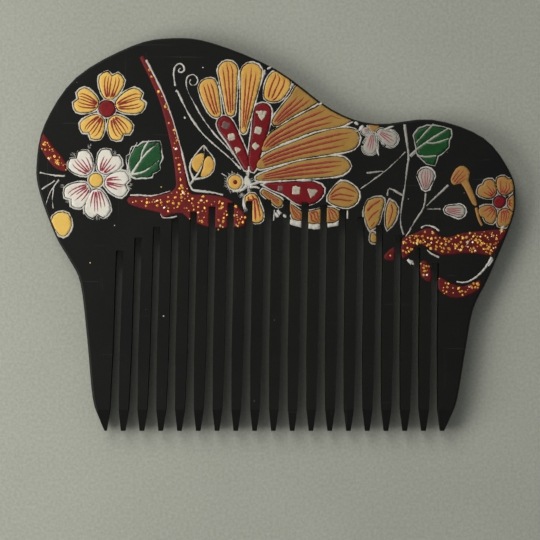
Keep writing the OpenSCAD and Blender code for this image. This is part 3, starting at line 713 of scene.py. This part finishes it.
def coats(node, material, root, seed, grow=OVERFLOW):
    """Replaces a node's flat solids by painted coats whose grain runs away from the root point."""
    sheet = Sheet("coat_" + node)
    parts = islands(node)
    for rings in parts:
        from_point = root(rings) if callable(root) else root
        away = middle(rings[0]) - from_point
        axis = away.normalized() if away.length > 0.2 else Vector((0, 1))
        coat(sheet, rings, FILL_LOW, FILL_TOP, axis, seed, rough=0.03, grow=grow)
    sheet.make(material, [node])
    return parts


THORAX = centre_of("butterfly_thorax")
GOLD_EYE = centre_of("blossom_gold_centre")
WHITE_EYE = centre_of("blossom_white_centre")
EDGE_EYE = centre_of("blossom_edge_centre")
HALF_EYE = centre_of("blossom_half_centre")


def striped(node, material, slot, root, seed, count, widths, reach, stripe, spread, share=0.8,
            grow=OVERFLOW):
    """Painted coats with strokes on them."""
    parts = coats(node, material, root, seed, grow)
    sheet = Sheet("strokes_" + node)
    for i, rings in enumerate(parts):
        from_point = root(rings) if callable(root) else root
        stripes(sheet, rings, from_point, count, widths, reach, seed * 10 + i, on_fill(seed),
                spread, share)
    sheet.make(stripe)


def hind_root(rings):
    """Hind cells are stroked from the body, the large one from its inner side, the cut ones aslant."""
    centre = middle(rings[0])
    if centre.x < 2:
        return THORAX
    if centre.y > 6:
        return Vector((centre.x - 7, centre.y + 0.6))
    return centre + Vector((-4, 5))


def bud_root(rings):
    """Buds are stroked from the end that sits on the stem."""
    centre = middle(rings[0])
    if centre.y > 8:
        return centre - Vector((0.3, 5))
    return centre - Vector((5, -0.4))


for row in (
    ("blossom_gold_petals", PALE_GOLD, "gold_yellow", GOLD_EYE, 11, 5, (0.46, 0.2), (0.86, 0.98),
     RED_STRIPE, 0.72),
    ("blossom_white_petals", WHITE, "petal_white", WHITE_EYE, 12, 5, (0.46, 0.2), (0.55, 0.92),
     PINK_STRIPE, 0.72),
    # the edge blossom's petals take the darker orange mix: a warmer gold, and partly painted shade as for
    # the other darker mixes
    ("blossom_edge_petals", ORANGE, "gold_yellow", EDGE_EYE, 13, 4, (0.42, 0.16), (0.45, 0.85),
     RED_STRIPE, 0.7),
    ("blossom_half_petals", SHADED_WHITE, "petal_white", HALF_EYE, 14, 3, (0.3, 0.2), (0.7, 0.95),
     PINK_STRIPE, 0.75, 0.45, 0.24),
    ("wing_cells_upper", GOLD, "gold_yellow", THORAX, 15, 3, (0.44, 0.32), (0.9, 1.0),
     RED_STRIPE, 0.75, 0.6),
    ("wing_cells_side", SHADED_GOLD, "gold_yellow", THORAX, 16, 3, (0.62, 0.46), (0.82, 1.0),
     RED_STRIPE, 0.74, 0.6),
    ("wing_cells_hind", SHADED_GOLD, "gold_yellow", hind_root, 17, 3, (0.4, 0.36), (0.85, 0.99),
     RED_STRIPE, 0.75, 0.5),
    ("butterfly_abdomen", GOLD, "gold_yellow", THORAX, 18, 2, (0.5, 0.42), (0.9, 0.99),
     RED_STRIPE, 0.9),
    ("bud_pink_upper", SHADED_WHITE, "petal_white", bud_root, 19, 4, (0.26, 0.2), (0.8, 0.97),
     PINK_STRIPE, 0.75, 0.5),
    ("bud_pink_lower", SHADED_WHITE, "petal_white", bud_root, 20, 4, (0.28, 0.2), (0.8, 0.97),
     PINK_STRIPE, 0.75, 0.5),
):
    striped(*row)


def free_strokes(node, seed, paths):
    """Single red strokes laid on a coat: each is its points and its widths at the two ends."""
    sheet = Sheet("strokes_" + node)
    for k, (points, first, last) in enumerate(paths):
        spots = [Vector(p) for p in points]
        path = []
        for a, b in zip(spots, spots[1:]):
            parts = max(2, int((b - a).length / 0.3))
            path += [a.lerp(b, i / parts) for i in range(parts)]
        path.append(spots[-1])
        n = len(path) - 1
        wide = []
        for i in range(n + 1):
            taper = min(1.0, 0.4 + 6 * min(i, n - i) / n)
            wide.append((first + (last - first) * i / n) * taper)
        tones = [i / n for i in range(n + 1)]
        brush(sheet, path, wide, on_fill(seed), seed + k, tones, wander=0.06)
    sheet.make(RED_STRIPE)


coats("trumpet_flower", ORANGE, Vector((36.0, 9.0)), 21)
free_strokes("trumpet_flower", 21, (
    (((36.7, 11.3), (37.5, 12.5), (38.3, 13.5)), 0.34, 0.14),
    (((37.0, 10.9), (38.1, 12.2), (39.2, 13.4)), 0.36, 0.14),
    (((37.4, 10.6), (38.5, 11.6), (39.6, 12.6)), 0.34, 0.14),
    (((38.1, 10.7), (38.9, 11.2), (39.7, 11.8)), 0.24, 0.12),
))
coats("lobed_leaf", SHADED_GOLD, Vector((22.3, 8.5)), 22)
free_strokes("lobed_leaf", 22, (
    (((18.9, 4.9), (20.2, 6.2), (21.7, 7.1)), 0.55, 0.45),
    (((19.2, 2.9), (20.2, 4.2), (21.4, 5.1)), 0.42, 0.35),
    (((19.7, 1.6), (20.6, 2.6)), 0.25, 0.3),
    (((24.0, 6.3), (24.3, 5.0), (23.7, 3.0), (23.3, 2.0)), 0.45, 0.3),
))

for node, material, slot, seed in (
    ("blossom_gold_centre", DARK_RED, "deep_red", 31),
    ("blossom_white_centre", PALE_GOLD, "gold_yellow", 32),
    ("blossom_edge_centre", RED, "deep_red", 33),
    ("blossom_half_centre", ORANGE, "orange_gold", 34),
    ("leaf_left", GREEN, "leaf_green", 35),
    ("leaf_right", DARK_GREEN, "leaf_green", 36),
    ("bud_edge", PALE_GOLD, "gold_yellow", 37),
    ("bud_pair", GOLD, "gold_yellow", 38),
    ("wing_panel_left", RED, "deep_red", 39),
    ("wing_panel_middle", RED, "deep_red", 40),
    ("wing_panel_lower", RED, "deep_red", 41),
    ("butterfly_thorax", CHALK, "petal_white", 44),
    ("branch_left_end", BARK, "bark_red", 45),
    ("branch_main", BARK, "bark_red", 46),
    ("branch_right", DEEP_SHADED_BARK, "bark_red", 47),
    ("branch_right_lower", DEEP_SHADED_BARK, "bark_red", 48),
):
    coats(node, material, THORAX, seed)

# the head and its pupil are full drops of paint that stand over their cells
for node, material, slot, seed, over, dome, grow in (
    ("butterfly_head", GOLD, "gold_yellow", 42, 0.02, 0.03, 0.16),
    ("butterfly_pupil", RED, "deep_red", 43, 0.045, 0.02, 0.05),
):
    sheet = Sheet("coat_" + node)
    for rings in islands(node):
        coat(sheet, rings, FILL_LOW, FILL_TOP + over, ALONG_X, seed, rough=0.04, dome=dome, grow=grow)
    sheet.make(material, [node])


# ---------------------------------------------------------------- white lines, hairs and touches

# the lines named here, all on the right, are painted a darker white: painted shade for light that falls
# off towards the right
SHADED_LINES = ("line_blossom_edge", "line_leaf_right", "line_lobed_leaf", "line_stems_right")
for number, node in enumerate(sorted(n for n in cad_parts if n.startswith("line_"))):
    sheet = Sheet("brushed_" + node)
    for rings in islands(node):
        coat(sheet, rings, FACE_Z, FACE_Z + 0.05, ALONG_X, 60 + number, rough=0.08, step=LINE_EDGE,
             dome=0.02, grid=0, swell=0.075)
    sheet.make(SHADED_CHALK if node in SHADED_LINES else CHALK, [node])


def hairs(sheet, spots, seed):
    """Dry-brush hairs: short thin strokes of white that start near a point and fly out one way.

    Each spot is its place, the way in degrees, how far the ways spread, the count and the length.
    """
    rng = random.Random(seed)
    for (x, y), way, spread, count, length in spots:
        for _ in range(count):
            angle = math.radians(way + rng.uniform(-spread, spread))
            start = Vector((x + rng.uniform(-0.35, 0.35), y + rng.uniform(-0.35, 0.35)))
            size = length * rng.uniform(0.45, 1.2)
            bend = math.radians(rng.uniform(-18, 18))
            mid = start + Vector((math.cos(angle), math.sin(angle))) * size / 2
            end = mid + Vector((math.cos(angle + bend), math.sin(angle + bend))) * size / 2
            width = rng.uniform(0.05, 0.12)
            brush(sheet, [start, mid, end], [width, width * 0.8, 0.03], on_face, rng.uniform(0, 90),
                  height=THIN)


def beside(centre, radius, degrees):
    """A place at a distance from a centre."""
    a = math.radians(degrees)
    return centre.x + radius * math.cos(a), centre.y + radius * math.sin(a)


head = centre_of("butterfly_head")
fuzz = []
for turn_by in range(100, 300, 16):
    fuzz.append((beside(head, 1.75, turn_by), turn_by, 34, 6, 0.5))
for turn_by in range(-30, 100, 26):
    fuzz.append((beside(head, 1.6, turn_by), turn_by + 80, 40, 3, 0.4))
fuzz += [
    ((THORAX.x, THORAX.y + 1.6), 92, 50, 12, 0.9), ((THORAX.x + 0.3, THORAX.y - 1.6), -70, 60, 14, 0.8),
    ((THORAX.x + 0.9, THORAX.y + 0.3), 30, 60, 8, 0.7), ((-6.9, 8.4), -110, 50, 14, 0.8),
    ((-6.4, 5.4), -95, 30, 8, 0.7), ((-0.2, 4.1), -80, 40, 8, 0.6), ((4.6, 2.6), -80, 30, 8, 0.5),
]
for turn_by in (131, 100, 55, -8, -14, 190, 217, 250, -87, -75):
    fuzz.append((beside(WHITE_EYE, 6.9 if turn_by > -60 else 7.7, turn_by), turn_by, 34, 9, 0.6))
for turn_by in (185, 215, 250, 275, 300, 330, 350):
    fuzz.append((beside(HALF_EYE, 3.4, turn_by), turn_by, 30, 10, 0.9))
sheet = Sheet("dry_brush_hairs")
hairs(sheet, fuzz, 301)


def loose_outline(sheet, loop, gap, width, seed):
    """A hand-drawn line round a coat, open where it starts."""
    points = resample(loop, 0.3)
    n = len(points)
    path = []
    for i, p in enumerate(points):
        along = points[(i + 1) % n] - points[i - 1]
        if along.length < 1e-6:
            continue
        side = Vector((along.y, -along.x)).normalized()
        wobble = 0.12 * noise.noise(Vector((p.x, p.y, seed)))
        path.append(p + side * (gap + wobble))
    brush(sheet, path, [width] * len(path), on_face, seed, wander=0.04, height=THIN)


def dab(sheet, points, width, seed):
    """A short full touch of the brush from one point to another."""
    first, last = (Vector(p) for p in points)
    n = 6
    path = [first.lerp(last, i / n) for i in range(n + 1)]
    wide = [width * math.sin(math.pi * (0.18 + 0.72 * i / n)) for i in range(n + 1)]
    brush(sheet, path, wide, on_face, seed, wander=0.1, height=THIN)


for k, rings in enumerate(islands("blossom_half_petals")):
    loose_outline(sheet, rings[0], 0.38, 0.17, 310 + k)
    loose_outline(sheet, rings[0], 0.62, 0.12, 330 + k)
for k, (points, width) in enumerate((
    (((-2.3, 34.3), (-2.9, 32.2)), 0.8), (((-1.8, 34.4), (-0.9, 35.0)), 0.5),
    (((3.6, 31.4), (3.0, 30.4)), 0.8), (((9.6, 27.4), (8.9, 27.0)), 0.5),
    (((16.4, 23.4), (17.2, 22.9)), 0.7), (((47.6, 2.2), (46.9, 0.6)), 0.8),
    (((47.3, 1.4), (46.4, -0.6)), 0.6), (((45.2, -5.2), (44.2, -6.6)), 0.6),
    (((-6.7, 7.6), (-6.6, 5.2)), 0.7), (((-0.1, 4.6), (0.5, 3.6)), 0.9),
    (((1.6, 4.2), (2.1, 3.5)), 0.6), (((28.0, -5.4), (28.7, -6.3)), 0.7),
    (((18.2, 22.7), (17.3, 21.6)), 0.9), (((22.6, 21.9), (24.6, 22.6)), 0.5),
    (((21.0, 18.2), (21.4, 16.4)), 0.5), (((-23.9, 4.5), (-23.5, 3.7)), 0.3),
    (((18.9, 10.4), (17.6, 9.5)), 0.28), (((28.2, 1.2), (27.0, -0.4)), 0.32),
    (((23.1, -5.0), (24.3, -5.1)), 0.3),
)):
    dab(sheet, points, width, 350 + k)
sheet.make(CHALK)

# ---------------------------------------------------------------- drops, shell and foil

def close(sheet, ring, foot, crown, sole):
    """Closes a small solid: a fan over its upper ring, the sides, and a fan under its lower ring."""
    for k in range(len(ring)):
        m = (k + 1) % len(ring)
        sheet.faces += [(ring[k], ring[m], crown), (foot[k], foot[m], ring[m], ring[k]),
                        (foot[m], foot[k], sole)]


def dot(sheet, rng, x, y, radius, tone):
    """A small rounded drop with an uneven edge."""
    corners = 8
    ring = []
    foot = []
    for k in range(corners):
        a = math.tau * k / corners
        r = radius * rng.uniform(0.75, 1.2)
        dx = math.cos(a)
        dy = math.sin(a)
        ring.append(sheet.point(x + 0.7 * r * dx, y + 0.7 * r * dy, FACE_Z + 0.03, tone=tone))
        foot.append(sheet.point(x + r * dx, y + r * dy, FACE_Z - 0.01, tone=tone))
    crown = sheet.point(x, y, FACE_Z + 0.045, tone=tone)
    sole = sheet.point(x, y, FACE_Z - 0.01, tone=tone)
    close(sheet, ring, foot, crown, sole)


# dots of spilt paint and foil on the lacquer, each as its place and its radius
rng = random.Random(77)
drops = Sheet("paint_drops")
crumbs = Sheet("foil_crumbs")
SPOTS = [(-19.0, 24.3, 0.28), (-20.7, 29.9, 0.3), (-20.3, 29.0, 0.36), (-40.6, 10.3, 0.26),
         (-15.2, 34.8, 0.16), (31.6, 9.1, 0.2), (-7.3, 14.9, 0.2), (-9.0, 15.8, 0.14),
         (43.1, 10.3, 0.2), (43.4, 9.0, 0.16), (-33.6, 1.9, 0.14), (-23.4, -17.0, 0.18), (3.9, 2.2, 0.2)]
for _ in range(26):
    SPOTS.append((rng.uniform(-44, 44), rng.uniform(-20, 34), rng.uniform(0.05, 0.1)))
GOLD_SPOTS = [(-38.7, -5.9, 0.16), (-31.0, 27.2, 0.1), (-12.0, 1.0, 0.2), (-23.9, 9.9, 0.16)]


# none lies on a motif or over the edge of the board
starts, ends = segments([loop for rings in islands("comb_body") for loop in rings])
taken = [segments([loop for rings in islands(n) for loop in rings])
         for n in sorted(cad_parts) if n != "comb_body" and not n.startswith("gold_flakes")]
for spots, target in ((SPOTS, drops), (GOLD_SPOTS, crumbs)):
    for x, y, radius in spots:
        here = np.array([(x, y)])
        if filled(here, starts, ends, 0.4)[0] and not any(filled(here, a, b)[0] for a, b in taken):
            dot(target, rng, x, y, radius, rng.uniform(0.2, 0.9))
drops.make(CHALK)
crumbs.make(FLAKE)

# shell chips; the ones named here are darker
CHIP_SHADE = {"shell_chip_1": 0.85, "shell_chip_7": 0.8, "shell_chip_9": 0.25}
for node in sorted(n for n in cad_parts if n.startswith("shell_chip_")):
    sheet = Sheet("inlay_" + node)
    for rings in islands(node):
        coat(sheet, rings, FILL_LOW, FILL_TOP + 0.06, ALONG_X, 90, rough=0.16, step=0.12, dome=0.03,
             grid=0.16, tone=CHIP_SHADE.get(node, 0.0), grow=0.16)
    sheet.make(PEARL, [node])


def flake(sheet, rng, p, radius):
    """One flake: a tilted scrap of foil with a raised middle."""
    sides = rng.choice((4, 5, 6, 7))
    begin = rng.uniform(0, math.tau)
    tone = min(1.0, max(0.0, rng.gauss(0.55, 0.25)))
    tilt = Vector((rng.uniform(-0.22, 0.22), rng.uniform(-0.22, 0.22)))
    top = []
    low = []
    for k in range(sides):
        angle = begin + math.tau * k / sides + rng.uniform(-0.2, 0.2)
        reach = radius * rng.uniform(0.72, 1.25)
        dx = reach * math.cos(angle)
        dy = reach * math.sin(angle)
        z = FILL_TOP + 0.035 + dx * tilt.x + dy * tilt.y
        top.append(sheet.point(p.x + dx * 0.86, p.y + dy * 0.86, z, tone=tone))
        low.append(sheet.point(p.x + dx, p.y + dy, FILL_TOP - 0.02, tone=tone))
    crown = sheet.point(p.x, p.y, FILL_TOP + 0.055 + radius * 0.05, tone=tone)
    sole = sheet.point(p.x, p.y, FILL_TOP - 0.02, tone=tone)
    close(sheet, top, low, crown, sole)


def flake_piece(node, bark, extra, seed, density):
    """Gold flakes: those of the frame and many smaller ones scattered in clusters over the bark."""
    rng = random.Random(seed)
    sheet = Sheet("foil_" + node)
    spots = []
    for rings in islands(node):
        size = math.sqrt(abs(area(rings[0])))
        spots.append((middle(rings[0]), size * 0.62))
    for rings in islands(bark):
        xs = [p.x for p in rings[0]]
        ys = [p.y for p in rings[0]]
        for _ in range(int(extra * abs(area(rings[0])))):
            p = Vector((rng.uniform(min(xs) - 0.2, max(xs) + 0.2), rng.uniform(min(ys), max(ys))))
            cluster = max(0.0, noise.noise(Vector((p.x * 0.55, p.y * 0.55, seed))))
            chance = density(p) * (0.3 + 2.2 * cluster)
            if rng.random() < chance and inside(p, rings):
                spots.append((p, rng.choice((0.12, 0.15, 0.19, 0.25, 0.33))))
    for p, radius in spots:
        flake(sheet, rng, p, radius)
    sheet.make(FLAKE, [node], smooth=False)


def dense(p):
    """Many flakes, but none on the small tip that a saw cut has parted from the branch."""
    return 0.0 if 0 < p.x < 25.2 else 1.0


def trunk(p):
    """Few flakes on the upper trunk and the left arm, many low down and along the club."""
    if p.y > 24:
        return 0.2
    if p.y > 5 and p.x > -20:
        return 0.85
    if p.x < -24:
        return 0.8
    return 1.0


flake_piece("gold_flakes_left_end", "branch_left_end", 6.0, 201, dense)
flake_piece("gold_flakes_main", "branch_main", 7.0, 202, trunk)
flake_piece("gold_flakes_right", "branch_right", 5.0, 203, dense)
flake_piece("gold_flakes_right_lower", "branch_right_lower", 6.0, 204, dense)


# ---------------------------------------------------------------- board, floor, lights and camera

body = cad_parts["comb_body"]
body.data.materials.clear()
body.data.materials.append(lacquer())

FLOOR_SIDE = 1.2                 # metres
FLOOR_CELLS = 24
points = []
for j in range(FLOOR_CELLS + 1):
    for i in range(FLOOR_CELLS + 1):
        points.append((FLOOR_SIDE * (i / FLOOR_CELLS - 0.5), FLOOR_SIDE * (j / FLOOR_CELLS - 0.5), 0.0))
quads = []
for j in range(FLOOR_CELLS):
    for i in range(FLOOR_CELLS):
        a = j * (FLOOR_CELLS + 1) + i
        quads.append((a, a + 1, a + FLOOR_CELLS + 2, a + FLOOR_CELLS + 1))
floor_mesh = bpy.data.meshes.new("floor")
floor_mesh.from_pydata(points, [], quads)
floor_mesh.materials.append(paper())
floor = bpy.data.objects.new("floor", floor_mesh)
bpy.context.scene.collection.objects.link(floor)


def area_light(name, towards, distance, size, power, colour):
    """A square soft light that looks at the comb from a direction; metres and watts."""
    data = bpy.data.lights.new(name, "AREA")
    data.shape = "SQUARE"
    data.size = size
    data.energy = power
    data.color = colour
    light = bpy.data.objects.new(name, data)
    way = Vector(towards).normalized()
    light.location = way * distance
    light.rotation_euler = way.to_track_quat("Z", "Y").to_euler()
    bpy.context.scene.collection.objects.link(light)


area_light("key", (-0.36, 0.68, 0.68), 0.9, 0.5, 3.2, (1.0, 0.985, 0.95))
area_light("side", (-1.0, -0.16, 0.80), 0.30, 0.2, 0.58, (1.0, 0.99, 0.97))

world = bpy.data.worlds.new("studio")
bpy.context.scene.world = world
world.use_nodes = True
background = world.node_tree.nodes["Background"]
background.inputs["Color"].default_value = (0.95, 0.97, 1.0, 1.0)
background.inputs["Strength"].default_value = 0.25

VIEWPOINT = (-1.25, -7.4, 600)   # mm; the camera looks straight down
camera_data = bpy.data.cameras.new("camera")
camera_data.sensor_width = 36
camera_data.lens = 190.4
camera_data.clip_end = 10
camera = bpy.data.objects.new("camera", camera_data)
camera.location = [c * MM for c in VIEWPOINT]
bpy.context.scene.collection.objects.link(camera)
bpy.context.scene.camera = camera
bpy.context.scene.view_settings.view_transform = "Standard"
